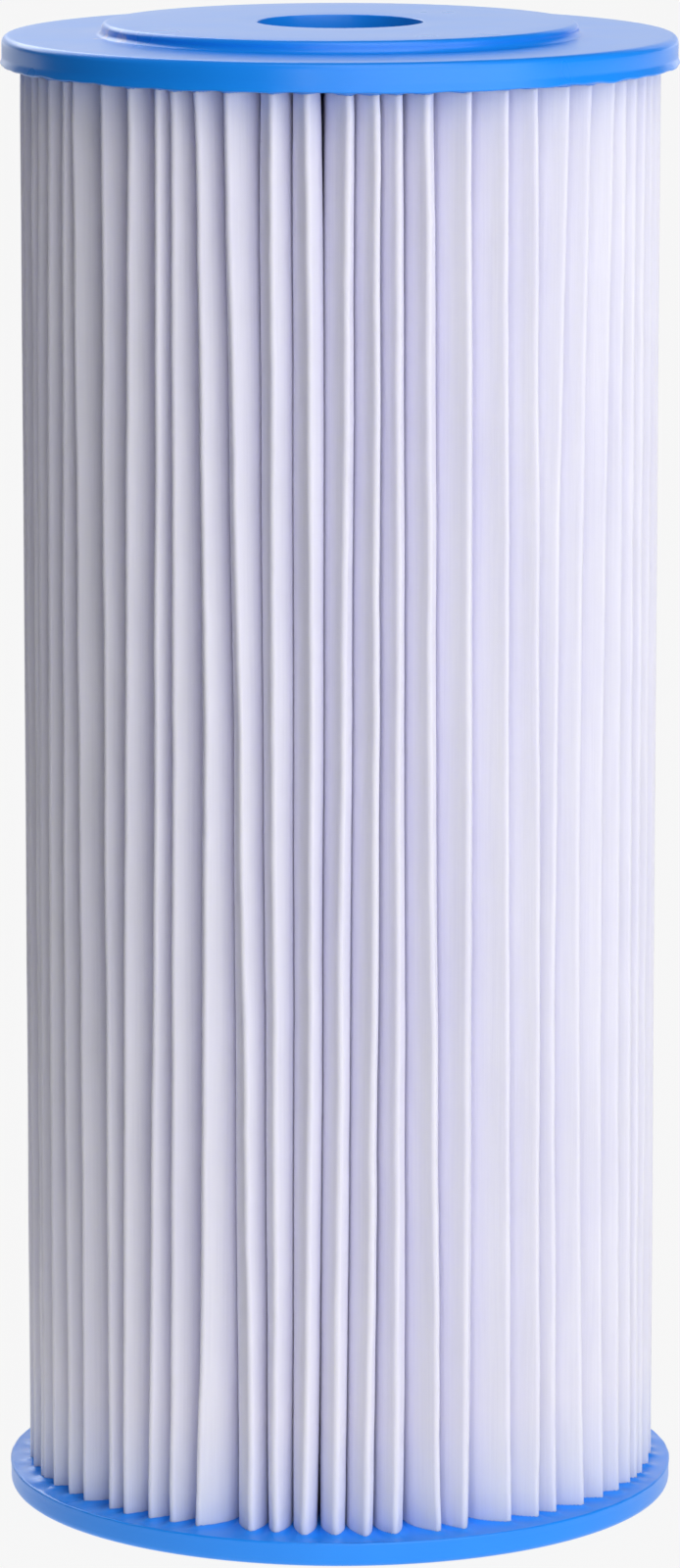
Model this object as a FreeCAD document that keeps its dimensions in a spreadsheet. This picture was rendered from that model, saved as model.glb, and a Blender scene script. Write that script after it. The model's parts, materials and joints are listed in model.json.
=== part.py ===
"""Pleated filter cartridge: 10 inch by 4.5 inch housing size, 28 mm bore.

One folded sheet of media stands round a perforated core and a netting sleeve. Two soft end caps are
cast round the ends of all of them. The origin is the centre of the bottom sealing face, and +Z runs
up the axis of the cartridge. All sizes are in millimetres, and all angles in degrees.
"""
import FreeCAD, Part
import math
import os
from itertools import accumulate

import Sketcher
from FreeCAD import Placement, Rotation, Vector

# Driving dimensions: alias, value.
DIMENSIONS = (
    ("overall_length", 254.0),
    # end caps
    ("flange_radius", 57.0),
    ("top_flange_thick", 4.9),
    ("bottom_flange_thick", 4.2),
    ("boss_radius", 40.0),
    ("boss_height", 2.1),
    ("bore_radius", 13.9),
    ("cap_edge_round", 0.7),
    ("potting_depth", 3.0),
    # perforated core
    ("core_inner_radius", 17.5),
    ("core_outer_radius", 20.0),
    ("core_end_band", 12.0),
    ("core_window_width", 7.0),
    ("core_window_height", 8.5),
    ("core_window_columns", 10),
    ("core_window_rows", 18),
    # netting sleeve
    ("netting_inner_radius", 20.2),
    ("netting_outer_radius", 20.8),
    ("netting_end_band", 6.0),
    ("netting_window", 7.6),
    ("netting_columns", 12),
    ("netting_rows", 22),
    # folded media
    ("media_thick", 0.6),
    ("pleat_tip_radius", 54.0),
    ("pleat_root_radius", 21.1),
    ("tip_fold_radius", 0.95),
    ("root_fold_radius", 0.5),
    ("pleat_count", 62),
    # adhesive seam between the two end flanks of the sheet
    ("seam_inner_radius", 22.6),
    ("seam_outer_radius", 31.0),
)

# Angles run anticlockwise seen from above, and the front is -Y. The pleats are gathered unevenly
# there: the first of these tips stands this far from the front, and the rest follow by these steps.
FRONT = -90.0
FIRST_FRONT_TIP = -72.0
FRONT_TIP_STEPS = (
    5, 5, 5, 5, 7, 4.5, 6, 4.5, 5.5, 8, 5, 5.5, 6,
    5.5, 4.5, 7, 5.5, 8, 6, 5, 6, 7, 5.5, 6, 5, 5,
)
# Round the back the steps differ from their mean by up to this share, and never repeat.
BACK_UNEVENNESS = 0.15
GOLDEN_ANGLE = 137.5

# Heights that follow from the driving dimensions.
BOTTOM_INNER_FACE = "dims.boss_height + dims.bottom_flange_thick"
TOP_INNER_FACE = "dims.overall_length - dims.boss_height - dims.top_flange_thick"
POTTED_START = f"({BOTTOM_INNER_FACE} - dims.potting_depth)"
POTTED_LENGTH = f"({TOP_INNER_FACE} + dims.potting_depth - {POTTED_START})"

doc = FreeCAD.newDocument("filter_cartridge")
dims = doc.addObject("Spreadsheet::Sheet", "dims")


def fill_sheet():
    """Write each driving dimension as a named cell."""
    for row, (alias, value) in enumerate(DIMENSIONS, start=1):
        dims.set(f"A{row}", alias)
        dims.set(f"B{row}", str(value))
        dims.setAlias(f"B{row}", alias)
    doc.recompute()


def size(alias):
    """The value of one driving dimension."""
    return float(dims.get(alias))


# ---------------------------------------------------------------- PartDesign helpers

def new_body(name):
    return doc.addObject("PartDesign::Body", name)


def origin_plane(body, role):
    return next(item for item in body.Origin.OriginFeatures if item.Role == role)


def new_sketch(body, name, role="XY_Plane"):
    """An empty sketch on one of the body's own origin planes."""
    sketch = body.newObject("Sketcher::SketchObject", name)
    sketch.AttachmentSupport = [(origin_plane(body, role), "")]
    sketch.MapMode = "FlatFace"
    return sketch


def add_circle(sketch, radius_alias):
    """A circle about the sketch's origin, with its radius bound to the sheet."""
    axis = Vector(0, 0, 1)
    index = sketch.addGeometry(Part.Circle(Vector(0, 0, 0), axis, size(radius_alias)), False)
    sketch.addConstraint(Sketcher.Constraint("Coincident", index, 3, -1, 1))
    radius = sketch.addConstraint(Sketcher.Constraint("Radius", index, size(radius_alias)))
    sketch.setExpression(f"Constraints[{radius}]", f"dims.{radius_alias}")


def add_window(sketch, width, height, base):
    """A rectangle centred on the sketch's vertical axis. Its sizes and foot are expressions."""
    corners = [Vector(-1, 1, 0), Vector(1, 1, 0), Vector(1, 2, 0), Vector(-1, 2, 0)]
    for start, end in zip(corners, corners[1:] + corners[:1]):
        sketch.addGeometry(Part.LineSegment(start, end), False)
    for side in range(4):
        sketch.addConstraint(Sketcher.Constraint("Coincident", side, 2, (side + 1) % 4, 1))
    sketch.addConstraint(Sketcher.Constraint("Symmetric", 0, 1, 0, 2, -2))
    for side, direction in ((1, "Vertical"), (2, "Horizontal"), (3, "Vertical")):
        sketch.addConstraint(Sketcher.Constraint(direction, side))
    across = sketch.addConstraint(Sketcher.Constraint("DistanceX", 0, 1, 0, 2, 2.0))
    upward = sketch.addConstraint(Sketcher.Constraint("DistanceY", 1, 1, 1, 2, 1.0))
    foot = sketch.addConstraint(Sketcher.Constraint("DistanceY", -1, 1, 0, 1, 1.0))
    sketch.setExpression(f"Constraints[{across}]", width)
    sketch.setExpression(f"Constraints[{upward}]", height)
    sketch.setExpression(f"Constraints[{foot}]", base)


def pad(body, name, sketch, length):
    feature = body.newObject("PartDesign::Pad", name)
    feature.Profile = sketch
    feature.setExpression("Length", length)
    return feature


def cut_through(body, name, sketch):
    """Cut a sketch through the whole body, on both sides of the sketch's plane."""
    feature = body.newObject("PartDesign::Pocket", name)
    feature.Profile = sketch
    feature.Type = "ThroughAll"
    feature.Midplane = True
    doc.recompute()
    return feature


def cut_groove(body, name, sketch, depth):
    """Cut a sketch to a depth, towards +Z from the sketch's plane."""
    feature = body.newObject("PartDesign::Pocket", name)
    feature.Profile = sketch
    feature.Reversed = True
    feature.setExpression("Length", depth)
    before = feature.BaseFeature.Shape.Volume
    doc.recompute()
    if feature.Shape.Volume >= before:
        raise RuntimeError(f"{name} cuts nothing")
    return feature


# ---------------------------------------------------------------- end caps

def circular_edges(shape, radius, height):
    """Names of the full circles of this radius at this height."""
    found = []
    for number, edge in enumerate(shape.Edges, start=1):
        if not isinstance(edge.Curve, Part.Circle):
            continue
        same_radius = abs(edge.Curve.Radius - radius) < 1e-6
        same_height = abs(edge.Curve.Center.z - height) < 1e-6
        if same_radius and same_height:
            found.append(f"Edge{number}")
    return found


def cap_blank(name, thick_alias):
    """A cap without its pleat slots: its inner face at z = 0, with the tube seats, its boss on top."""
    body = new_body(name)
    flange_outline = new_sketch(body, f"{name}_flange_outline")
    add_circle(flange_outline, "flange_radius")
    pad(body, f"{name}_flange", flange_outline, f"dims.{thick_alias}")

    boss_outline = new_sketch(body, f"{name}_boss_outline")
    add_circle(boss_outline, "boss_radius")
    pad(body, f"{name}_boss", boss_outline, f"dims.{thick_alias} + dims.boss_height")

    bore_outline = new_sketch(body, f"{name}_bore_outline")
    add_circle(bore_outline, "bore_radius")
    cut_through(body, f"{name}_bore", bore_outline)

    tube_seats = new_sketch(body, f"{name}_tube_seat_outlines")
    for tube in ("core", "netting"):
        add_circle(tube_seats, f"{tube}_inner_radius")
        add_circle(tube_seats, f"{tube}_outer_radius")
    seated = cut_groove(body, f"{name}_tube_seats", tube_seats, "dims.potting_depth")

    flange_face = size(thick_alias)
    boss_face = flange_face + size("boss_height")
    edges = circular_edges(seated.Shape, size("flange_radius"), 0.0)
    edges += circular_edges(seated.Shape, size("flange_radius"), flange_face)
    edges += circular_edges(seated.Shape, size("boss_radius"), flange_face)
    edges += circular_edges(seated.Shape, size("boss_radius"), boss_face)
    rounded = body.newObject("PartDesign::Fillet", f"{name}_edge_rounds")
    rounded.Base = (seated, edges)
    rounded.setExpression("Radius", "dims.cap_edge_round")
    doc.recompute()
    return body


def potted_cap(label, blank, potted_pieces):
    """The cap as it sets: the blank less every piece whose end is cast into it."""
    remaining = blank
    for piece in potted_pieces:
        cut = doc.addObject("Part::Cut", f"{label}_round_{piece.Name}")
        cut.Base = remaining
        cut.Tool = piece
        remaining = cut
    remaining.Label = label
    return remaining


def make_end_caps(potted_pieces):
    top_blank = cap_blank("top_cap_blank", "top_flange_thick")
    top_blank.setExpression("Placement.Base.z", TOP_INNER_FACE)

    bottom_blank = cap_blank("bottom_cap_blank", "bottom_flange_thick")
    bottom_blank.Placement = Placement(Vector(0, 0, 0), Rotation(Vector(1, 0, 0), 180))
    bottom_blank.setExpression("Placement.Base.z", BOTTOM_INNER_FACE)

    return [
        potted_cap("end_cap_top", top_blank, potted_pieces),
        potted_cap("end_cap_bottom", bottom_blank, potted_pieces),
    ]


# ---------------------------------------------------------------- core and netting

def windowed_tube(label, radii, band, window, columns_alias, rows_alias):
    """A tube with a grid of windows: even columns round it, even rows between its end bands."""
    inner_alias, outer_alias = radii
    width, height = window
    body = new_body(label)
    ring = new_sketch(body, f"{label}_ring")
    add_circle(ring, outer_alias)
    add_circle(ring, inner_alias)
    pad(body, f"{label}_tube", ring, POTTED_LENGTH)

    opening = new_sketch(body, f"{label}_window_outline", "XZ_Plane")
    add_window(opening, width, height, band)
    pierced = cut_through(body, f"{label}_windows", opening)

    # Each cut pierces both walls, so half a turn of copies fills the whole ring.
    grid = body.newObject("PartDesign::MultiTransform", f"{label}_window_grid")
    column = doc.addObject("PartDesign::PolarPattern", f"{label}_window_columns")
    column.Axis = (origin_axis(body, "Z_Axis"), [""])
    column.Angle = 180.0 - 360.0 / size(columns_alias)
    column.Occurrences = int(size(columns_alias) / 2)
    row = doc.addObject("PartDesign::LinearPattern", f"{label}_window_rows")
    row.Direction = (origin_axis(body, "Z_Axis"), [""])
    row.setExpression("Length", f"{POTTED_LENGTH} - 2 * {band} - {height}")
    row.Occurrences = int(size(rows_alias))
    body.addObject(column)
    body.addObject(row)
    grid.Originals = [pierced]
    grid.Transformations = [row, column]
    body.Tip = grid
    body.Label = label
    body.setExpression("Placement.Base.z", POTTED_START)
    doc.recompute()
    return body


def origin_axis(body, role):
    return next(item for item in body.Origin.OriginFeatures if item.Role == role)


def make_core():
    return windowed_tube(
        "core",
        ("core_inner_radius", "core_outer_radius"),
        "dims.core_end_band",
        ("dims.core_window_width", "dims.core_window_height"),
        "core_window_columns",
        "core_window_rows",
    )


def make_netting():
    return windowed_tube(
        "core_netting",
        ("netting_inner_radius", "netting_outer_radius"),
        "dims.netting_end_band",
        ("dims.netting_window", "dims.netting_window"),
        "netting_columns",
        "netting_rows",
    )


# ---------------------------------------------------------------- folded media

def polar(radius, angle):
    radians = math.radians(angle)
    return Vector(radius * math.cos(radians), radius * math.sin(radians), 0)


def turned(vector, angle):
    """A plan vector turned anticlockwise."""
    return Rotation(Vector(0, 0, 1), angle).multVec(vector)


def tip_angles():
    """The angle of every pleat's tip, in order round the axis from the seam at the back."""
    back_tips = int(size("pleat_count")) - len(FRONT_TIP_STEPS) - 1
    shares = [
        1 + BACK_UNEVENNESS * math.sin(math.radians(GOLDEN_ANGLE * number))
        for number in range(back_tips + 1)
    ]
    back_turn = 360.0 - sum(FRONT_TIP_STEPS)
    back_steps = [back_turn * share / sum(shares) for share in shares]
    steps = list(FRONT_TIP_STEPS) + back_steps[:-1]
    angles = list(accumulate(steps, initial=FRONT + FIRST_FRONT_TIP))
    seam = len(angles) - back_tips // 2
    return [angle - 360.0 for angle in angles[seam:]] + angles[:seam]


def root_angles(tips):
    """The root folds are even round the core, and the pleat that faces the front is radial."""
    pitch = 360.0 / len(tips)
    facing = min(range(len(tips)), key=lambda number: abs(tips[number] - FRONT))
    first = FRONT - (facing + 0.5) * pitch
    return [first + pitch * number for number in range(len(tips) + 1)]


def fold_circles():
    """Centre, radius and turn of each fold from the first root to the last, along the sheet."""
    tips = tip_angles()
    roots = root_angles(tips)
    root_circle = size("pleat_root_radius") + size("root_fold_radius") + size("media_thick") / 2
    tip_circle = size("pleat_tip_radius") - size("tip_fold_radius") - size("media_thick") / 2
    folds = [(polar(root_circle, roots[0]), size("root_fold_radius"), "right")]
    for tip, root in zip(tips, roots[1:]):
        folds.append((polar(tip_circle, tip), size("tip_fold_radius"), "left"))
        folds.append((polar(root_circle, root), size("root_fold_radius"), "right"))
    return folds


def flank_directions(folds):
    """The direction of each straight flank: it crosses from one side of its folds to the other."""
    directions = []
    for (start, start_radius, turn), (end, end_radius, _) in zip(folds, folds[1:]):
        between = end - start
        lean = math.degrees(math.asin((start_radius + end_radius) / between.Length))
        between.normalize()
        directions.append(turned(between, lean if turn == "left" else -lean))
    return directions


def side_of_sheet(folds, directions, offset):
    """Edges of the sheet's surface, offset to the left of its middle, from flank end to flank end."""
    def surface_point(fold, direction):
        centre, radius, turn = fold
        outward = turned(direction, -90 if turn == "left" else 90)
        reach = radius - offset if turn == "left" else radius + offset
        return centre + outward * reach

    edges = []
    for number, direction in enumerate(directions):
        start = surface_point(folds[number], direction)
        end = surface_point(folds[number + 1], direction)
        edges.append(Part.LineSegment(start, end).toShape())
        if number + 1 == len(directions):
            break
        fold = folds[number + 1]
        following = surface_point(fold, directions[number + 1])
        centre, radius, turn = fold
        reach = radius - offset if turn == "left" else radius + offset
        crown = centre * (1 + (reach if turn == "left" else -reach) / centre.Length)
        edges.append(Part.Arc(end, crown, following).toShape())
    return edges


def prism(edges, label, height):
    """A closed outline in plan, raised to a height."""
    outline = Part.Wire(Part.__sortEdges__(edges))
    piece = doc.addObject("Part::Feature", label)
    piece.Shape = Part.Face(outline).extrude(Vector(0, 0, height))
    return piece


def potted_heights():
    """The height at which every potted piece starts, and its length."""
    start = size("boss_height") + size("bottom_flange_thick") - size("potting_depth")
    end = size("overall_length") - size("boss_height") - size("top_flange_thick")
    return start, end + size("potting_depth") - start


def make_media():
    folds = fold_circles()
    directions = flank_directions(folds)
    half = size("media_thick") / 2
    inner = side_of_sheet(folds, directions, half)
    outer = side_of_sheet(folds, directions, -half)
    first_end = Part.LineSegment(inner[0].Vertexes[0].Point, outer[0].Vertexes[0].Point)
    last_end = Part.LineSegment(inner[-1].Vertexes[-1].Point, outer[-1].Vertexes[-1].Point)
    start, length = potted_heights()
    edges = inner + outer + [first_end.toShape(), last_end.toShape()]
    media = prism(edges, "pleated_media", length)
    media.Placement = Placement(Vector(0, 0, start), Rotation())
    return media


def make_seam():
    """The glue between the sheet's two end flanks, filling the gap from near the root outwards."""
    folds = fold_circles()
    directions = flank_directions(folds)
    half = size("media_thick") / 2
    first_flank = side_of_sheet(folds, directions, -half)[0]
    last_flank = side_of_sheet(folds, directions, -half)[-1]
    corners = []
    for flank, radii in (
        (first_flank, ("seam_inner_radius", "seam_outer_radius")),
        (last_flank, ("seam_outer_radius", "seam_inner_radius")),
    ):
        corners += [point_at_radius(flank, size(alias)) for alias in radii]
    sides = [
        Part.LineSegment(corner, following).toShape()
        for corner, following in zip(corners, corners[1:] + corners[:1])
    ]
    start, length = potted_heights()
    seam = prism(sides, "side_seam", length)
    seam.Placement = Placement(Vector(0, 0, start), Rotation())
    return seam


def point_at_radius(flank, radius):
    """The point where a straight flank crosses a circle about the axis."""
    circle = Part.Circle(Vector(0, 0, 0), Vector(0, 0, 1), radius).toShape()
    _, pairs, _ = flank.distToShape(circle)
    return pairs[0][0]


# ---------------------------------------------------------------- build, check, write

def check(parts):
    """Stop before anything is written if any object failed or any sub-part isn't sound."""
    for item in doc.Objects:
        if "Invalid" in item.State or "Error" in item.State:
            raise RuntimeError(f"{item.Label} failed: {item.State}")
    for part in parts:
        if part.Shape.isNull() or not part.Shape.isValid():
            raise RuntimeError(f"{part.Label} has no sound shape")


def write_steps(parts):
    os.makedirs("parts", exist_ok=True)
    for part in parts:
        part.Shape.exportStep(f"parts/{part.Label}.step")
        box = part.Shape.BoundBox
        print(
            f"{part.Label}: {len(part.Shape.Solids)} solid, {part.Shape.Volume:.0f} mm3, "
            f"z {box.ZMin:.2f} to {box.ZMax:.2f}"
        )


fill_sheet()
core = make_core()
netting = make_netting()
media = make_media()
seam = make_seam()
caps = make_end_caps([media, seam])
doc.recompute()
sub_parts = caps + [core, netting, media, seam]
check(sub_parts)
write_steps(sub_parts)
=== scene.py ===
"""Looks of the pleated filter cartridge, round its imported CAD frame. Metres, +Z up, front -Y."""
import json
import math

import bpy
import numpy as np
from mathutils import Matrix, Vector, kdtree


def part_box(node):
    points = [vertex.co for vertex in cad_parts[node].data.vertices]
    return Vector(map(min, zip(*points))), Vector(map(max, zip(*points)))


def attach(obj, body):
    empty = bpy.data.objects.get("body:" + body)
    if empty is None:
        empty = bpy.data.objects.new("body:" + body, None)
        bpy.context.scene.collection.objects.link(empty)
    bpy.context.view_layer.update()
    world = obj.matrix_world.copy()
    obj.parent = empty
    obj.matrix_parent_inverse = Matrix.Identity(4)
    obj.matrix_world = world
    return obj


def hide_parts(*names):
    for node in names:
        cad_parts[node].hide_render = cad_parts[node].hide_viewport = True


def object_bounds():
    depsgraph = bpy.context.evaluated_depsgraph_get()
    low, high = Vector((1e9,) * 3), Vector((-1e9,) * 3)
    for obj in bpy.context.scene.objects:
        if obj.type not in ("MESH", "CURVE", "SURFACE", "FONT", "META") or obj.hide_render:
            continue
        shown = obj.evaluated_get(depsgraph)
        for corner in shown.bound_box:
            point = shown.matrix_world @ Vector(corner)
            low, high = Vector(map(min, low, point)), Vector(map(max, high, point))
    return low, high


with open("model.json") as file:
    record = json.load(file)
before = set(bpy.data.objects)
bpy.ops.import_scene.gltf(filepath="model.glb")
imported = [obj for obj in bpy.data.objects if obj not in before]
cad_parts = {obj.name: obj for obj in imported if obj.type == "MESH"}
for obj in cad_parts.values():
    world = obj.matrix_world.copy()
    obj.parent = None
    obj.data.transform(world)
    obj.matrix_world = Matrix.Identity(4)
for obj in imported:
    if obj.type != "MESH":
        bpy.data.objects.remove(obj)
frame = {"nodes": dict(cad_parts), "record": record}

MM = 0.001
CAD_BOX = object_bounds()
SEED = 20

# ---------------------------------------------------------------- what the frame says

MEDIA_LOW, MEDIA_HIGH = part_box("pleated_media")
TOP_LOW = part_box("end_cap_top")[0]
BOTTOM_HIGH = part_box("end_cap_bottom")[1]
SEAM_LOW, SEAM_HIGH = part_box("side_seam")
NETTING_LOW, NETTING_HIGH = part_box("core_netting")
BORE_RADIUS = frame["record"]["mounts"][0]["dims"]["r_mm"] * MM
TIP_RADIUS = MEDIA_HIGH.x
SHEET_THICK = 0.6 * MM
FRONT_ANGLE = -90.0
# In the CAD sheet, only tips come this near its outside, and only roots this near its inside.
TIP_BAND = 1.6 * MM
ROOT_BAND = 0.4 * MM
# Corners more than this many degrees apart belong to different folds.
FOLD_GAP = 1.0
# Only the flange's rim lies beyond this share of a cap's radius.
RIM_SHARE = 0.97

# The pleats stand straight at the back and on the left. From the front to the right they lean,
# with their roots this many degrees behind their tips.
MOST_LAG = 4.0
LEAN_STARTS, LEAN_FULL, LEAN_FADES, LEAN_ENDS = -26.0, 8.0, 60.0, 150.0


def corners(node):
    """A CAD node's corners as arrays: radius, angle in degrees, height."""
    points = np.array([vertex.co for vertex in frame["nodes"][node].data.vertices])
    angle = np.degrees(np.arctan2(points[:, 1], points[:, 0]))
    return np.hypot(points[:, 0], points[:, 1]), angle, points[:, 2]


MEDIA_ROOT_RADIUS = corners("pleated_media")[0].min()


def smooth_share(share):
    """0 to 1, with soft ends, as the share goes from 0 to 1."""
    share = np.clip(share, 0.0, 1.0)
    return share * share * (3 - 2 * share)


def root_lag(angles):
    """How far each root lies behind its tip, in degrees."""
    from_front = (angles - FRONT_ANGLE + 180) % 360 - 180
    rise = smooth_share((from_front - LEAN_STARTS) / (LEAN_FULL - LEAN_STARTS))
    return MOST_LAG * rise * smooth_share((LEAN_ENDS - from_front) / (LEAN_ENDS - LEAN_FADES))


def fold_angles(inner, outer):
    """The middle angle of each fold of the media whose corners lie in this band of radius."""
    radius, angle, _ = corners("pleated_media")
    found = np.sort(angle[(radius > inner) & (radius < outer)])
    whole_folds_from = np.flatnonzero(np.diff(found) > FOLD_GAP)[0] + 1
    found = np.concatenate([found[whole_folds_from:], found[:whole_folds_from] + 360.0])
    gaps = np.flatnonzero(np.diff(found) > FOLD_GAP)
    starts = np.concatenate([[0], gaps + 1])
    ends = np.concatenate([gaps, [len(found) - 1]])
    return (found[starts] + found[ends]) / 2


def pleat_angles():
    """The angles of every pleat's tip and of the middle of its root, in order from the seam."""
    tips = fold_angles(TIP_RADIUS - TIP_BAND, math.inf)
    pitch = 360.0 / len(tips)
    roots = fold_angles(0.0, MEDIA_ROOT_RADIUS + ROOT_BAND)
    phase = np.angle(np.mean(np.exp(1j * np.radians(roots / pitch * 360.0))))
    phase = np.degrees(phase) / 360.0 * pitch
    seam = (SEAM_LOW + SEAM_HIGH) / 2
    seam_angle = math.degrees(math.atan2(seam.y, seam.x))
    first_root = phase + pitch * round((seam_angle - phase) / pitch)
    tips = np.sort((tips - first_root) % 360.0) + first_root
    middles = first_root + pitch * (np.arange(len(tips)) + 0.5)
    return tips, middles - root_lag(middles)


TIP_ANGLES, ROOT_ANGLES = pleat_angles()
PLEATS = len(TIP_ANGLES)


def cap_sizes(node, outward):
    """Flange radius, boss radius, and the heights of the inner face, flange face and boss face."""
    radius, _, height = corners(node)
    height = height * outward
    flange_radius = radius.max()
    flange_face = height[radius > RIM_SHARE * flange_radius].max()
    boss_face = height.max()
    boss_radius = radius[height > (flange_face + boss_face) / 2].max()
    return flange_radius, boss_radius, height.min(), flange_face, boss_face


# ---------------------------------------------------------------- mesh helpers

def new_piece(name, vertices, faces, smooth=True):
    """A mesh object of this name in the scene."""
    mesh = bpy.data.meshes.new(name)
    mesh.from_pydata([tuple(point) for point in vertices], [], faces)
    mesh.validate()
    if smooth:
        mesh.polygons.foreach_set("use_smooth", [True] * len(mesh.polygons))
    mesh.update()
    piece = bpy.data.objects.new(name, mesh)
    bpy.context.scene.collection.objects.link(piece)
    return piece


def grid_faces(rows, columns, start=0, closed=False, flip=False):
    """Quads over a grid of vertices, row by row. A closed grid's last column joins its first."""
    faces = []
    for row in range(rows - 1):
        for column in range(columns if closed else columns - 1):
            following = (column + 1) % columns
            a = start + row * columns + column
            b = start + row * columns + following
            quad = (a, b, b + columns, a + columns)
            faces.append(quad[::-1] if flip else quad)
    return faces


# In an open line of noise, each wave has up to this share more or fewer turns.
WAVE_SPREAD = 0.2


def smooth_noise(rng, count, waves, closed=False):
    """A smooth random line of this many samples, about 1 either way, with up to this many waves."""
    along = np.linspace(0.0, 1.0, count, endpoint=not closed)
    line = np.zeros(count)
    for wave in range(1, waves + 1):
        turns = wave if closed else wave * rng.uniform(1 - WAVE_SPREAD, 1 + WAVE_SPREAD)
        line += rng.normal() * np.sin(2 * np.pi * (turns * along + rng.random())) / math.sqrt(waves)
    return line


# ---------------------------------------------------------------- the folded sheet

# How far the tips that face the front drift round the axis from their place in the frame, in
# degrees, at the top, the middle and the bottom. The first belongs to the pleat nearest
# FIRST_DRIFT_ANGLE.
FIRST_DRIFT_ANGLE = -159.4
DRIFT_TOP = (-1.0, -0.8, -0.6, -2.6, -1.3, 1.0, 0.9, -0.5, -1.3, -3.7, -0.5, 0.2,
             1.5, 0.6, 0.1, -1.7, 0.3, -0.2, -0.2, 2.6, 2.2, 2.6, 0.8)
DRIFT_MIDDLE = (-3.0, -2.6, -2.2, -1.6, -1.4, -0.5, -0.1, -0.7, 0.2, -1.1, -0.2, 1.0,
                0.4, 0.7, 0.3, -0.8, 0.6, 0.5, 1.0, 0.2, 0.0, -0.4, 0.0)
DRIFT_BOTTOM = (-3.5, -2.4, -1.6, -1.5, -1.1, -1.8, -2.0, -1.8, -1.8, 0.4, -0.1, -0.4,
                -0.8, -1.0, 0.0, 0.8, 0.4, 1.5, 1.7, 1.1, 2.1, 1.5, 1.4)
# The other tips drift at random, by about this much.
OTHER_DRIFT = 0.6
# Each tip also wanders a little on its way up: size in degrees, and number of waves.
TIP_WANDERS = ((0.08, 6), (0.04, 24))

# The cross-section of one pleat, on the middle of the sheet. It swells from its root to its
# belly, and then narrows to a small rounded nose. Half way up, the bellies all but close the gaps
# between the pleats. Near the caps, which hold the pleats apart, they fill less of the room.
ROOT_HALF_WIDTH = 0.60 * MM
ROOT_RADIUS = MEDIA_ROOT_RADIUS + 0.8 * MM
BELLY_DEPTH = 5.6 * MM
WIDEST_BELLY = 3.0 * MM
# The least air between two bellies, and the share by which it widens here and there.
BELLY_GAP = 0.06 * MM
BELLY_GAP_WANDER, BELLY_GAP_WAVES = 0.5, 4
# At the caps, a belly's half width as a share of the step from one pleat to the next. One gap near
# the front has its own share. The hold of the caps fades over this height.
HELD_SHARES = (0.33, 0.395)
OPEN_SHARE = 0.34
OPEN_GAP_ANGLE = -93.0
HELD_HEIGHT = 20 * MM
NOSE_RADIUS = 0.32 * MM
NOSE_SPREAD = (0.9, 1.2)
NOSE_WANDER, NOSE_WAVES = 0.08, 22
NOSE_TURN = 70
# Each pleat stops up to this much short of the tips' radius, and its tip wavers in and out.
SHORTEST_BY = 0.4 * MM
REACH_WANDER, REACH_WAVES = 0.05 * MM, 8

# Where the points of a flank lie: shares of the way from root to belly, then from belly to nose.
INNER_STATIONS = (0.0, 0.5, 1.0)
OUTER_STATIONS = (0.35, 0.65, 0.88)
NOSE_STEPS = 7
# The higher this is, the nearer its tip a pleat bends aside.
LEAN_CURVE = 1.7
LEVELS_NEAR_CAP = np.array([0.0, 2.4, 3.6, 5.0, 7.0, 9.5, 12.5, 16.0, 20.0]) * MM
LEVEL_STEP = 4.6 * MM
# The sheet's hidden inner side has only every fourth level.
INNER_SKIP = 4


def media_levels():
    """Heights of the sheet's rings: close together near the caps, where the pleats neck in."""
    near = LEVELS_NEAR_CAP
    low, high = MEDIA_LOW.z, MEDIA_HIGH.z
    middle_low, middle_high = low + near[-1], high - near[-1]
    count = int(round((middle_high - middle_low) / LEVEL_STEP / INNER_SKIP)) * INNER_SKIP
    middle = np.linspace(middle_low, middle_high, count + 1)
    return np.concatenate([low + near[:-1], middle, (high - near[:-1])[::-1]])


LEVELS = media_levels()


def tip_drift(rng):
    """Drift of every tip at every level, in degrees."""
    share = (LEVELS - LEVELS[0]) / (LEVELS[-1] - LEVELS[0])
    bottom, middle, top = (smooth_ring(rng) * OTHER_DRIFT for _ in range(3))
    first = int(np.argmin(np.abs((TIP_ANGLES - FIRST_DRIFT_ANGLE + 180) % 360 - 180)))
    for values, read in ((bottom, DRIFT_BOTTOM), (middle, DRIFT_MIDDLE), (top, DRIFT_TOP)):
        values[first:first + len(read)] = read
    drift = np.zeros((PLEATS, len(LEVELS)))
    for pleat in range(PLEATS):
        bow = 2 * middle[pleat] - (bottom[pleat] + top[pleat])
        straight = bottom[pleat] + (top[pleat] - bottom[pleat]) * share
        drift[pleat] = straight + bow * 2 * share * (1 - share)
        for size, waves in TIP_WANDERS:
            drift[pleat] += size * smooth_noise(rng, len(LEVELS), waves)
    return drift


def smooth_ring(rng):
    """One random value a pleat, alike between neighbours."""
    raw = rng.normal(size=PLEATS)
    return (np.roll(raw, 1) + 2 * raw + np.roll(raw, -1)) / math.sqrt(6)


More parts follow.
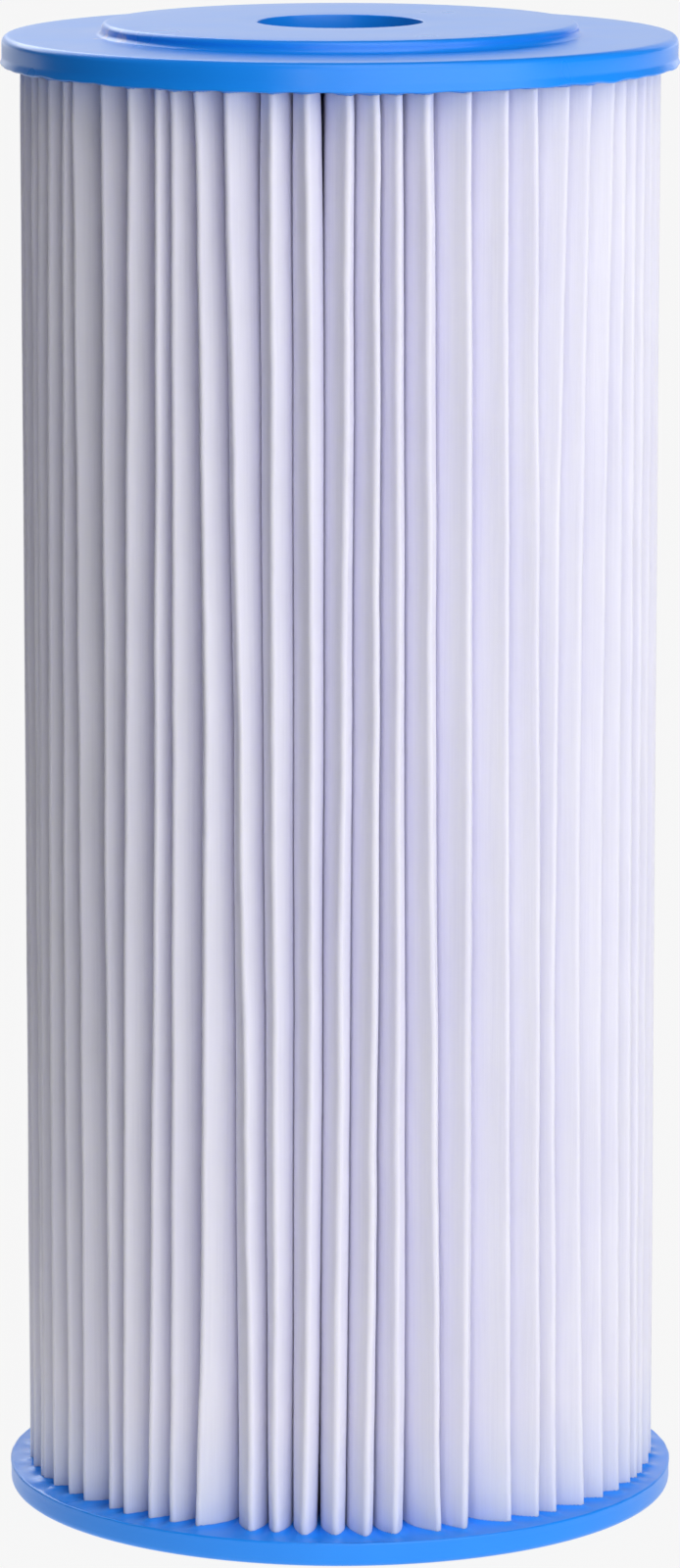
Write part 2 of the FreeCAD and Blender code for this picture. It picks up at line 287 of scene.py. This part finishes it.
def pleat_sections():
    """The middle of the sheet as points[level, place, xy], from the first flank end to the last."""
    rng = np.random.default_rng(SEED)
    tips = TIP_ANGLES[:, None] + tip_drift(rng)
    steps = np.roll(tips, -1, axis=0) - tips
    steps[-1] += 360.0
    held = rng.uniform(*HELD_SHARES, PLEATS)
    gaps = tips.mean(axis=1) + steps.mean(axis=1) / 2
    held[np.abs((gaps - OPEN_GAP_ANGLE + 180) % 360 - 180).argmin()] = OPEN_SHARE
    bellies = np.array([belly_width(step, share, rng) for step, share in zip(steps, held)])
    sections = []
    for pleat in range(PLEATS):
        reach = TIP_RADIUS - SHEET_THICK / 2 - rng.uniform(0, SHORTEST_BY)
        reach = reach + REACH_WANDER * smooth_noise(rng, len(LEVELS), REACH_WAVES)
        nose = NOSE_RADIUS * rng.uniform(*NOSE_SPREAD)
        nose = nose * (1 + NOSE_WANDER * smooth_noise(rng, len(LEVELS), NOSE_WAVES))
        root = math.radians(ROOT_ANGLES[pleat])
        sides = bellies[pleat - 1], bellies[pleat]
        sections.append(pleat_stations(np.radians(tips[pleat]), root, sides, nose, reach))
        if pleat + 1 < PLEATS:
            sections.append(root_fold(pleat))
    return np.concatenate(sections, axis=1)


def belly_width(step, held_share, rng):
    """Half width of the bellies beside one gap, at every level, from the step between its tips."""
    pitch = 360.0 / PLEATS
    share = 1 - BELLY_DEPTH / (TIP_RADIUS - ROOT_RADIUS)
    room = (TIP_RADIUS - BELLY_DEPTH) * np.radians(pitch + (step - pitch) * share ** LEAN_CURVE)
    wander = BELLY_GAP_WANDER * np.abs(smooth_noise(rng, len(LEVELS), BELLY_GAP_WAVES))
    gap = BELLY_GAP * (1 + wander)
    free = np.minimum((room - SHEET_THICK - gap) / 2, WIDEST_BELLY)
    held = held_share * room
    to_cap = np.minimum(LEVELS - BOTTOM_HIGH.z, TOP_LOW.z - LEVELS).clip(0)
    return free + (held - free) * np.exp(-to_cap / HELD_HEIGHT)


def pleat_stations(tip, root, bellies, nose, reach):
    """One pleat's points at every level: out along one flank, round its nose and back."""
    length = reach - ROOT_RADIUS
    belly_share = 1 - BELLY_DEPTH / length
    turn = math.radians(NOSE_TURN)
    nose_width = nose * math.sin(turn)
    nose_share = 1 - nose * (1 - math.cos(turn)) / length
    flanks = []
    for side, belly in zip((-1, 1), bellies):
        flank = []
        for station in INNER_STATIONS:
            width = ROOT_HALF_WIDTH + (belly - ROOT_HALF_WIDTH) * station
            flank.append(place(station * belly_share, side * width, tip, root, length))
        for station in OUTER_STATIONS:
            width = belly + (nose_width - belly) * station ** 2
            share = belly_share + (nose_share - belly_share) * station
            flank.append(place(share, side * width, tip, root, length))
        flanks.append(flank)
    around = []
    for angle in np.linspace(-turn, turn, NOSE_STEPS):
        share = 1 - nose * (1 - math.cos(angle)) / length
        around.append(place(share, nose * math.sin(angle), tip, root, length))
    return np.stack(flanks[0] + around + flanks[1][::-1], axis=1)


def place(share, across, tip, root, length):
    """A point at a share of the pleat's length and a distance to its side, at every level."""
    radius = ROOT_RADIUS + share * length
    angle = root + (tip - root) * np.power(share, LEAN_CURVE)
    along = np.stack([np.cos(angle), np.sin(angle)], axis=-1)
    side = np.stack([-np.sin(angle), np.cos(angle)], axis=-1)
    return along * np.reshape(radius, (-1, 1)) + side * np.reshape(across, (-1, 1))


def root_fold(pleat):
    """The middle of the fold between this pleat and the next, at every level."""
    angle = math.radians((ROOT_ANGLES[pleat] + ROOT_ANGLES[pleat + 1]) / 2)
    radius = MEDIA_ROOT_RADIUS + SHEET_THICK / 2
    point = np.array([radius * math.cos(angle), radius * math.sin(angle)])
    return np.tile(point, (len(LEVELS), 1, 1))


def offset_sections(sections, distance):
    """The sections moved sideways in plan: positive towards the outside of the pleats."""
    along = np.gradient(sections, axis=1)
    along /= np.linalg.norm(along, axis=2, keepdims=True)
    outward = np.stack([along[..., 1], -along[..., 0]], axis=-1)
    return sections + outward * distance


def build_media():
    """The sheet as a thin closed solid, its middle sections and its flat length.

    The hidden inner side has fewer levels.
    """
    sections = pleat_sections()
    outer = offset_sections(sections, SHEET_THICK / 2)
    inner = offset_sections(sections, -SHEET_THICK / 2)[::INNER_SKIP]
    inner_levels = LEVELS[::INNER_SKIP]
    places = sections.shape[1]
    vertices = np.concatenate([
        with_heights(outer, LEVELS).reshape(-1, 3),
        with_heights(inner, inner_levels).reshape(-1, 3),
    ])
    start = len(LEVELS) * places
    faces = grid_faces(len(LEVELS), places)
    faces += grid_faces(len(inner_levels), places, start, flip=True)
    faces += edge_strips(places, start, len(inner_levels))
    media = new_piece("media_sheet", vertices, faces)
    middle = sections[len(LEVELS) // 2]
    length = np.linalg.norm(np.diff(middle, axis=0), axis=1).sum()
    return media, sections, float(length)


def with_heights(sections, levels):
    """The sections in 3-D: each level's points get its height."""
    heights = np.broadcast_to(levels[:, None, None], sections.shape[:2] + (1,))
    return np.concatenate([sections, heights], axis=2)


def edge_strips(places, start, inner_rows):
    """Faces that join the sheet's two sides: along its cut top and bottom, and up its two ends."""
    faces = []
    top_outer = (len(LEVELS) - 1) * places
    top_inner = start + (inner_rows - 1) * places
    for place_number in range(places - 1):
        following = place_number + 1
        faces.append((following, place_number, start + place_number, start + following))
        faces.append((
            top_outer + place_number, top_outer + following,
            top_inner + following, top_inner + place_number,
        ))
    for row in range(inner_rows - 1):
        for end, first in ((0, True), (places - 1, False)):
            low = INNER_SKIP * row * places + end
            inner_low = start + row * places + end
            climb = tuple(low + step * places for step in range(INNER_SKIP + 1))
            face = climb + (inner_low + places, inner_low)
            faces.append(face if first else face[::-1])
    return faces


# ---------------------------------------------------------------- end caps

CAP_COLUMNS = 992
EDGE_ROUND = 1.2 * MM
BOSS_EDGE_ROUND = 1.0 * MM
FOOT_ROUND = 1.0 * MM
BORE_EDGE_ROUND = 0.25 * MM
ROUND_STEPS = 6
MENISCUS_HEIGHT = 0.65 * MM
MENISCUS_REACH = 0.8 * MM
# The lip round the inner face: it stands out a little beyond the cap's side, and it is wavy.
LIP_HEIGHT = 0.35 * MM
LIP_CHAMFER, LIP_DROP, LIP_RISE = 0.3 * MM, 0.02 * MM, 0.15 * MM
LIP_FLARE = 0.28 * MM
LIP_WAVE, LIP_WAVES = 0.15 * MM, 60
LIP_WAVE_OUT, LIP_WAVE_DOWN = 0.5, 0.8
LIP_RINGS = 3
# The bottom cap's lip is truer than the top's.
BOTTOM_FLARE_SHARE = 0.3
BOTTOM_WAVE_SHARE = 0.2
# The inner face: how uneven it is, how wide a border follows the lip, how far from the rim it
# stops, and the share of the tips' radius beyond which it can be seen.
SAG, SAG_WAVES = 0.12 * MM, 40
INNER_FACE_BORDER = 2 * MM
INNER_FACE_INSET = 0.35 * MM
SHOWN_SHARE = 0.76
HIDDEN_RINGS, SHOWN_RINGS = 9, 31
# It creeps up the sheet's outline at this level, counted from the end that the cap holds.
MENISCUS_LEVEL = 2
OUTLINE_STEP = 0.2 * MM


def arc(centre_radius, centre_height, size, start, end):
    """Points of a profile's rounding, by angle in degrees."""
    return [
        (centre_radius + size * math.cos(angle), centre_height + size * math.sin(angle))
        for angle in np.radians(np.linspace(start, end, ROUND_STEPS + 1))
    ]


def cap_profile(node, outward):
    """Radius and height of the cap's outside, from the lip over the boss into the bore."""
    flange, boss, inner, face, top = cap_sizes(node, outward)
    waist = flange - LIP_FLARE * (1 if outward > 0 else BOTTOM_FLARE_SHARE)
    profile = [(flange - LIP_CHAMFER, inner - LIP_DROP), (flange, inner + LIP_RISE)]
    profile += [(flange, inner + LIP_HEIGHT), (waist, inner + 3 * LIP_HEIGHT)]
    side_end = face - EDGE_ROUND
    profile += [(waist, inner + (side_end - inner) * share) for share in (0.45, 0.7)]
    profile += arc(waist - EDGE_ROUND, face - EDGE_ROUND, EDGE_ROUND, 0, 90)
    profile += [(boss + (waist - boss) * share, face) for share in (0.8, 0.55, 0.3)]
    profile += arc(boss + FOOT_ROUND, face + FOOT_ROUND, FOOT_ROUND, -90, -180)
    profile += arc(boss - BOSS_EDGE_ROUND, top - BOSS_EDGE_ROUND, BOSS_EDGE_ROUND, 0, 90)
    profile += [(BORE_RADIUS + (boss - BORE_RADIUS) * share, top) for share in (0.75, 0.5, 0.25)]
    profile += arc(BORE_RADIUS + BORE_EDGE_ROUND, top - BORE_EDGE_ROUND, BORE_EDGE_ROUND, 90, 180)
    profile += [(BORE_RADIUS, top + (inner - top) * share) for share in (0.3, 0.65)]
    return np.array(profile), inner


def inner_face_radii(flange):
    """Radii of the inner face's rings, from the bore outwards: close together where it shows."""
    shown_from = SHOWN_SHARE * TIP_RADIUS
    hidden = np.linspace(BORE_RADIUS, shown_from, HIDDEN_RINGS)
    shown = np.linspace(shown_from, flange - INNER_FACE_INSET, SHOWN_RINGS)
    return np.concatenate([hidden[:-1], shown])


def media_tree(sections, level):
    """Finds the nearest point of the sheet's outline at one level."""
    outline = offset_sections(sections, SHEET_THICK / 2)[level]
    along = np.concatenate([[0.0], np.cumsum(np.linalg.norm(np.diff(outline, axis=0), axis=1))])
    stops = np.arange(0.0, along[-1], OUTLINE_STEP)
    fine = np.stack([np.interp(stops, along, outline[:, axis]) for axis in (0, 1)], axis=1)
    tree = kdtree.KDTree(len(fine))
    for number, (x, y) in enumerate(fine):
        tree.insert((x, y, 0), number)
    tree.balance()
    return tree


def build_cap(name, node, outward, sections):
    """A cast cap: a turned outside, and an inner face that creeps up the pleats."""
    rng = np.random.default_rng(SEED + outward)
    profile, inner = cap_profile(node, outward)
    flange = profile[:, 0].max()
    rings = [np.tile(point, (CAP_COLUMNS, 1)) for point in profile]
    turn = np.linspace(0, 2 * np.pi, CAP_COLUMNS, endpoint=False)
    waviness = LIP_WAVE * (1 if outward > 0 else BOTTOM_WAVE_SHARE)
    wave = waviness * smooth_noise(rng, CAP_COLUMNS, LIP_WAVES, closed=True)
    for ring in rings[:LIP_RINGS]:
        ring[:, 0] += LIP_WAVE_OUT * wave
        ring[:, 1] -= LIP_WAVE_DOWN * wave
    level = MENISCUS_LEVEL if outward < 0 else len(LEVELS) - 1 - MENISCUS_LEVEL
    tree = media_tree(sections, level)
    sag = SAG * smooth_noise(rng, CAP_COLUMNS, SAG_WAVES, closed=True)
    for radius in inner_face_radii(flange):
        ring = np.full((CAP_COLUMNS, 2), radius)
        edge = max(0.0, 1 - (flange - radius) / INNER_FACE_BORDER)
        for column, angle in enumerate(turn):
            away = tree.find((radius * math.cos(angle), radius * math.sin(angle), 0))[2]
            climb = MENISCUS_HEIGHT * math.exp(-away / MENISCUS_REACH)
            ring[column, 1] = inner - climb + sag[column] * (1 - edge) - wave[column] * edge
        rings.append(ring)
    grid = np.array(rings)
    x = grid[..., 0] * np.cos(turn)
    y = grid[..., 0] * np.sin(turn)
    vertices = np.stack([x, y, grid[..., 1] * outward], axis=-1)
    faces = grid_faces(len(rings), CAP_COLUMNS, closed=True, flip=outward < 0)
    last = (len(rings) - 1) * CAP_COLUMNS
    for column in range(CAP_COLUMNS):
        following = (column + 1) % CAP_COLUMNS
        quad = (last + column, last + following, following, column)
        faces.append(quad[::-1] if outward < 0 else quad)
    return new_piece(name, vertices.reshape(-1, 3), faces)


# ---------------------------------------------------------------- netting and seam

STRAND_RADIUS = 0.22 * MM
STRANDS = 22
STRAND_STEPS = 84
STRAND_SIDES = 5


def strand_ring(radius, angle, height, hand):
    """The corners round one strand, where it passes this angle and height."""
    out = Vector((math.cos(angle), math.sin(angle), 0))
    across = Vector((math.sin(angle), -math.cos(angle), hand)).normalized()
    centre = Vector((radius * math.cos(angle), radius * math.sin(angle), height))
    turns = [2 * math.pi * side / STRAND_SIDES for side in range(STRAND_SIDES)]
    return [
        centre + STRAND_RADIUS * (out * math.cos(turn) + across * math.sin(turn)) for turn in turns
    ]


def build_netting():
    """Two layers of slanting strands, welded where they cross."""
    low, high = NETTING_LOW.z, NETTING_HIGH.z
    vertices, faces = [], []
    for hand, depth in ((1, 2.0 * STRAND_RADIUS), (-1, STRAND_RADIUS)):
        radius = NETTING_HIGH.x - depth
        twist = hand * (high - low) / radius
        for strand in range(STRANDS):
            start = len(vertices)
            for step in range(STRAND_STEPS + 1):
                share = step / STRAND_STEPS
                angle = 2 * math.pi * strand / STRANDS + twist * share
                vertices += strand_ring(radius, angle, low + (high - low) * share, hand)
            faces += grid_faces(STRAND_STEPS + 1, STRAND_SIDES, start, closed=True, flip=hand < 0)
            first = tuple(range(start, start + STRAND_SIDES))
            last = tuple(index + STRAND_STEPS * STRAND_SIDES for index in first)
            faces += [first[::-1], last] if hand > 0 else [first, last[::-1]]
    return new_piece("netting_strands", vertices, faces)


# How many points of each end flank the glue covers, counted from the root, and how far its bead
# stands out beyond them.
SEAM_STATIONS = 4
SEAM_BEAD = 0.5 * MM


def build_seam(sections):
    """The glue between the two end flanks: it follows both, and ends in a small bead."""
    surface = offset_sections(sections, SHEET_THICK / 2)
    first = surface[:, :SEAM_STATIONS]
    last = surface[:, ::-1][:, :SEAM_STATIONS]
    middle = (first[:, -1] + last[:, -1]) / 2
    outward = middle / np.linalg.norm(middle, axis=1, keepdims=True)
    bead = (middle + outward * SEAM_BEAD)[:, None]
    ring = np.concatenate([first, bead, last[:, ::-1]], axis=1)
    levels = len(LEVELS)
    columns = ring.shape[1]
    vertices = with_heights(ring, LEVELS).reshape(-1, 3)
    faces = grid_faces(levels, columns, closed=True, flip=True)
    bottom = tuple(range(columns))
    faces += [bottom, tuple(index + (levels - 1) * columns for index in bottom)[::-1]]
    return new_piece("seam_bead", vertices, faces)


# ---------------------------------------------------------------- materials

def new_material(name):
    """A material with its Principled shader, ready for more nodes."""
    material = bpy.data.materials.new(name)
    material.use_nodes = True
    nodes = material.node_tree.nodes
    nodes.clear()
    shader = nodes.new("ShaderNodeBsdfPrincipled")
    output = nodes.new("ShaderNodeOutputMaterial")
    material.node_tree.links.new(shader.outputs["BSDF"], output.inputs["Surface"])
    return material, shader


def add_node(material, kind, **values):
    """A node with these settings and inputs, each by its name."""
    node = material.node_tree.nodes.new(kind)
    for name, value in values.items():
        if name in node.inputs:
            node.inputs[name].default_value = value
        else:
            setattr(node, name, value)
    return node


def link(material, source, target):
    """Join an output socket to an input socket."""
    material.node_tree.links.new(source, target)


def stretched_noise(material, stretch, detail):
    """Noise over the piece's own position, squeezed or stretched along each axis."""
    place_node = add_node(material, "ShaderNodeTexCoord")
    scale = add_node(material, "ShaderNodeMapping")
    scale.inputs["Scale"].default_value = stretch
    noise = add_node(material, "ShaderNodeTexNoise", Scale=1.0, Detail=detail, Roughness=0.6)
    link(material, place_node.outputs["Object"], scale.inputs["Vector"])
    link(material, scale.outputs["Vector"], noise.inputs["Vector"])
    return noise


def ramp(material, source, stops):
    """Colours or greys by value: stops are (value, colour)."""
    node = add_node(material, "ShaderNodeValToRGB")
    while len(node.color_ramp.elements) < len(stops):
        node.color_ramp.elements.new(0.5)
    for element, (value, colour) in zip(node.color_ramp.elements, stops):
        element.position = value
        element.color = (*colour, 1.0)
    link(material, source, node.inputs["Fac"])
    return node


def add_bump(material, shader, heights):
    """Stack bumps: heights are (source, strength, distance in metres)."""
    below = None
    for source, strength, distance in heights:
        bump = add_node(material, "ShaderNodeBump", Strength=strength, Distance=distance)
        link(material, source, bump.inputs["Height"])
        if below is not None:
            link(material, below, bump.inputs["Normal"])
        below = bump.outputs["Normal"]
    link(material, below, shader.inputs["Normal"])


def cap_light_and_soak_tint(material):
    """White, but bluer near the caps: painted blue bounce light from the caps and painted bluish
    shade under the top one, with a little of their vinyl soaked into the sheet as well.
    """
    place_node = add_node(material, "ShaderNodeTexCoord")
    split = add_node(material, "ShaderNodeSeparateXYZ")
    link(material, place_node.outputs["Object"], split.inputs["Vector"])
    share = add_node(
        material, "ShaderNodeMapRange", **{"From Min": MEDIA_LOW.z, "From Max": MEDIA_HIGH.z},
    )
    link(material, split.outputs["Z"], share.inputs["Value"])
    # Painted blue bounce light near the bottom cap, and painted bluish shade under the top cap.
    tinted, plain = (0.78, 0.86, 1.0), (1.0, 1.0, 1.0)
    return ramp(material, share.outputs["Result"], (
        (0.01, tinted), (0.03, (0.88, 0.93, 1.0)), (0.09, plain),
        (0.94, plain), (0.975, (0.98, 0.99, 1.0)), (0.99, (0.94, 0.965, 1.0)),
    ))


def media_material():
    """White non-woven polyester: fine upright streaks over matted fibres."""
    material, shader = new_material("polyester_media")
    streaks = stretched_noise(material, (2200, 2200, 35), 4.0)
    fibres = stretched_noise(material, (3800, 3800, 2600), 2.0)
    cloud = stretched_noise(material, (90, 90, 25), 2.0)
    tone = ramp(material, streaks.outputs["Fac"], (
        (0.30, (0.80, 0.79, 0.95)), (0.50, (0.825, 0.815, 0.973)), (0.72, (0.845, 0.835, 0.987)),
    ))
    patches = ramp(material, cloud.outputs["Fac"], ((0.3, (0.95, 0.95, 0.97)), (0.7, (1, 1, 1))))
    mix = add_node(material, "ShaderNodeMix", data_type="RGBA", blend_type="MULTIPLY")
    mix.inputs["Factor"].default_value = 1.0
    link(material, tone.outputs["Color"], mix.inputs["A"])
    link(material, patches.outputs["Color"], mix.inputs["B"])
    # Multiplies in the painted blue light and shade near the caps, with a little soaked-in vinyl.
    cap_light_and_soak_mix = add_node(material, "ShaderNodeMix", data_type="RGBA", blend_type="MULTIPLY")
    cap_light_and_soak_mix.inputs["Factor"].default_value = 1.0
    link(material, mix.outputs["Result"], cap_light_and_soak_mix.inputs["A"])
    link(material, cap_light_and_soak_tint(material).outputs["Color"], cap_light_and_soak_mix.inputs["B"])
    link(material, cap_light_and_soak_mix.outputs["Result"], shader.inputs["Base Color"])
    rough = ramp(material, fibres.outputs["Fac"], ((0.3, (0.72,) * 3), (0.7, (0.9,) * 3)))
    link(material, rough.outputs["Color"], shader.inputs["Roughness"])
    shader.inputs["Specular IOR Level"].default_value = 0.2
    shader.inputs["Sheen Weight"].default_value = 0.1
    shader.inputs["Sheen Roughness"].default_value = 0.5
    shader.inputs["Subsurface Weight"].default_value = 0.8
    shader.inputs["Subsurface Radius"].default_value = (1.0, 1.0, 1.15)
    shader.inputs["Subsurface Scale"].default_value = 1.2 * MM
    add_bump(material, shader, (
        (streaks.outputs["Fac"], 0.25, 0.10 * MM), (fibres.outputs["Fac"], 0.25, 0.04 * MM),
    ))
    return material


# Pale patches on the vinyl: the point and the size of each patch, in mm. Two are at the foot of the
# top boss, on the left.
# One is on the left of the bottom cap, and is a painted reflection of the pale surroundings.
PALE_PATCHES = (((-39.3, -9.5, 252.0), 4.0), ((-36.0, -17.5, 252.0), 4.5), ((-54.0, -9.0, 4.4), 3.2))
PALE_PATCH_STRENGTH = 0.50


def pale_patch_mask(material):
    """A mottled mask: strongest in the middle of each pale patch, next to nothing elsewhere."""
    place_node = add_node(material, "ShaderNodeTexCoord")
    grain = stretched_noise(material, (600, 600, 600), 3.0)
    total = None
    for (x, y, z), size in PALE_PATCHES:
        away = add_node(material, "ShaderNodeVectorMath", operation="DISTANCE")
        link(material, place_node.outputs["Object"], away.inputs[0])
        away.inputs[1].default_value = (x * MM, y * MM, z * MM)
        near = add_node(
            material, "ShaderNodeMapRange",
            **{"From Min": 0.0, "From Max": size * MM, "To Min": PALE_PATCH_STRENGTH, "To Max": 0.0},
        )
        link(material, away.outputs["Value"], near.inputs["Value"])
        if total is None:
            total = near.outputs["Result"]
            continue
        most = add_node(material, "ShaderNodeMath", operation="MAXIMUM")
        link(material, total, most.inputs[0])
        link(material, near.outputs["Result"], most.inputs[1])
        total = most.outputs["Value"]
    both = add_node(material, "ShaderNodeMath", operation="ADD")
    link(material, total, both.inputs[0])
    link(material, grain.outputs["Fac"], both.inputs[1])
    return ramp(material, both.outputs["Value"], ((0.78, (0.0,) * 3), (1.0, (0.8,) * 3)))


def plastisol_material():
    """Blue cast soft vinyl: smooth, a little glossy, faintly rippled, with a few pale patches. The
    one on the bottom cap is a painted reflection.
    """
    material, shader = new_material("blue_plastisol")
    broad = stretched_noise(material, (60, 60, 60), 2.0)
    tone = ramp(material, broad.outputs["Fac"], (
        (0.1, (0.005, 0.258, 0.91)), (0.9, (0.009, 0.287, 0.99)),
    ))
    # Pale patch colour mixed into the base colour. On the bottom cap it is a painted reflection.
    patched = add_node(material, "ShaderNodeMix", data_type="RGBA")
    link(material, pale_patch_mask(material).outputs["Color"], patched.inputs["Factor"])
    link(material, tone.outputs["Color"], patched.inputs["A"])
    patched.inputs["B"].default_value = (0.42, 0.50, 0.86, 1.0)
    link(material, patched.outputs["Result"], shader.inputs["Base Color"])
    rough = ramp(material, broad.outputs["Fac"], ((0.1, (0.26,) * 3), (0.9, (0.31,) * 3)))
    link(material, rough.outputs["Color"], shader.inputs["Roughness"])
    shader.inputs["IOR"].default_value = 1.5
    add_bump(material, shader, ((broad.outputs["Fac"], 0.05, 0.30 * MM),))
    return material


def moulded_material(name, dark, light, roughness):
    """Plain moulded plastic: a slight mottle and a fine grain."""
    material, shader = new_material(name)
    mottle = stretched_noise(material, (120, 120, 60), 3.0)
    grain = stretched_noise(material, (1500, 1500, 1500), 2.0)
    tone = ramp(material, mottle.outputs["Fac"], ((0.3, dark), (0.7, light)))
    link(material, tone.outputs["Color"], shader.inputs["Base Color"])
    rough = ramp(material, grain.outputs["Fac"], (
        (0.3, (roughness - 0.05,) * 3), (0.7, (roughness + 0.08,) * 3),
    ))
    link(material, rough.outputs["Color"], shader.inputs["Roughness"])
    add_bump(material, shader, ((grain.outputs["Fac"], 0.2, 0.03 * MM),))
    return material


def paint(piece, material):
    """Give the piece this one material."""
    piece.data.materials.clear()
    piece.data.materials.append(material)


# ---------------------------------------------------------------- studio

FLOOR_REACH = 30.0
FLOOR_DROP = 0.3 * MM
FLOOR_GLOW = 0.92
SKY_STRENGTH = 0.06
# The dark card: its x, the y of its near and far edges, and the heights of its foot and its top.
FLAG_X, FLAG_FRONT, FLAG_BACK, FLAG_LOW, FLAG_HIGH = -0.13, -0.55, 0.02, 0.002, 0.55
# Name, azimuth and elevation in degrees, distance, width and height in metres, watts, colour.
# Azimuth 0 is the front, and 90 is the right.
SOFTBOXES = (
    ("key", 33, 20, 1.5, 2.0, 1.5, 16.8, (0.92, 0.92, 1.0)),
    ("fill", -15, 8, 1.5, 0.35, 0.9, 3.5, (0.95, 0.95, 1.0)),
    ("top", 20, 62, 1.8, 1.3, 1.3, 10.5, (1, 1, 1)),
    ("rear", 212, 36, 1.5, 1.2, 0.9, 9, (1, 1, 1)),
    ("backdrop", 180, 16, 4.6, 6.8, 3.0, 66, (1, 1, 1)),
)
# The camera's lens and sensor in mm, how many degrees it looks down, how far in front it stands
# and how high.
LENS_MM = 175.9
SENSOR_MM = 36.0
CAMERA_PITCH = 10.31
CAMERA_DISTANCE = 1285.8 * MM
CAMERA_HEIGHT = 358.0 * MM
FARTHEST_SEEN = 100.0


def floor_material():
    """A plain floor that is pale by its own even glow.

    Its base is almost black, so that the lamps leave no line on it.
    """
    material, shader = new_material("studio_floor")
    shader.inputs["Base Color"].default_value = (0.01, 0.01, 0.0102, 1)
    shader.inputs["Roughness"].default_value = 0.9
    shader.inputs["Specular IOR Level"].default_value = 0.0
    shader.inputs["Emission Color"].default_value = (1, 1, 1, 1)
    shader.inputs["Emission Strength"].default_value = FLOOR_GLOW
    material.cycles.emission_sampling = "NONE"
    return material


def build_floor():
    """The floor lies a hair below the cartridge, so that no two faces share one plane."""
    plan = ((-1, -1), (1, -1), (1, 1), (-1, 1))
    vertices = [(x * FLOOR_REACH, y * FLOOR_REACH, -FLOOR_DROP) for x, y in plan]
    floor = new_piece("studio_floor", vertices, [(0, 1, 2, 3)], smooth=False)
    paint(floor, floor_material())


def build_sky():
    """A faint even sky."""
    world = bpy.data.worlds.new("studio")
    bpy.context.scene.world = world
    world.use_nodes = True
    background = world.node_tree.nodes["Background"]
    background.inputs["Color"].default_value = (0.97, 0.98, 1.0, 1)
    background.inputs["Strength"].default_value = SKY_STRENGTH


def build_flag():
    """A dark card that the camera doesn't see. It keeps the cartridge's left side in shade."""
    vertices = [
        (FLAG_X, FLAG_FRONT, FLAG_LOW), (FLAG_X, FLAG_BACK, FLAG_LOW),
        (FLAG_X, FLAG_BACK, FLAG_HIGH), (FLAG_X, FLAG_FRONT, FLAG_HIGH),
    ]
    flag = new_piece("studio_flag", vertices, [(0, 1, 2, 3)], smooth=False)
    material, shader = new_material("studio_flag")
    shader.inputs["Base Color"].default_value = (0.03, 0.03, 0.035, 1)
    shader.inputs["Roughness"].default_value = 1.0
    paint(flag, material)
    flag.visible_camera = False


def softbox(name, azimuth, elevation, distance, width, height, power, colour):
    """A rectangular light that faces the cartridge's middle. The camera doesn't see it."""
    light = bpy.data.lights.new(name, "AREA")
    light.shape = "RECTANGLE"
    light.size, light.size_y = width, height
    light.energy = power
    light.color = colour
    lamp = bpy.data.objects.new(name, light)
    lamp.visible_camera = False
    bpy.context.scene.collection.objects.link(lamp)
    across, up = math.radians(azimuth), math.radians(elevation)
    target = Vector((0, 0, (CAD_BOX[0][2] + CAD_BOX[1][2]) / 2))
    away = Vector((math.sin(across) * math.cos(up), -math.cos(across) * math.cos(up), math.sin(up)))
    lamp.location = target + away * distance
    lamp.rotation_euler = away.to_track_quat("Z", "Y").to_euler()


def build_camera():
    """A long lens in front of the cartridge, looking down a little."""
    camera = bpy.data.cameras.new("camera")
    camera.lens = LENS_MM
    camera.sensor_width = SENSOR_MM
    camera.clip_end = FARTHEST_SEEN
    viewer = bpy.data.objects.new("camera", camera)
    bpy.context.scene.collection.objects.link(viewer)
    viewer.location = (0, -CAMERA_DISTANCE, CAMERA_HEIGHT)
    viewer.rotation_euler = (math.radians(90 - CAMERA_PITCH), 0, 0)
    bpy.context.scene.camera = viewer


# ---------------------------------------------------------------- assembly

media, sheet_sections, sheet_length = build_media()
top_cap = build_cap("top_cap", "end_cap_top", 1, sheet_sections)
bottom_cap = build_cap("bottom_cap", "end_cap_bottom", -1, sheet_sections)
netting = build_netting()
seam = build_seam(sheet_sections)
core = frame["nodes"]["core"]

plastisol = plastisol_material()
paint(media, media_material())
paint(top_cap, plastisol)
paint(bottom_cap, plastisol)
paint(netting, moulded_material("netting_plastic", (0.78, 0.80, 0.83), (0.84, 0.86, 0.88), 0.45))
paint(seam, moulded_material("seam_adhesive", (0.70, 0.69, 0.64), (0.78, 0.77, 0.73), 0.5))
paint(core, moulded_material("core_plastic", (0.80, 0.81, 0.82), (0.86, 0.87, 0.88), 0.4))

for piece, node, slot in (
    (media, "pleated_media", "polyester_media"),
    (top_cap, "end_cap_top", "blue_plastisol"),
    (bottom_cap, "end_cap_bottom", "blue_plastisol"),
    (netting, "core_netting", "netting_plastic"),
    (seam, "side_seam", "seam_adhesive"),
):
    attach(piece, "root")
    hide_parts(node)

build_floor()
build_flag()
build_sky()
for softbox_row in SOFTBOXES:
    softbox(*softbox_row)
build_camera()
bpy.context.scene.view_settings.view_transform = "Standard"
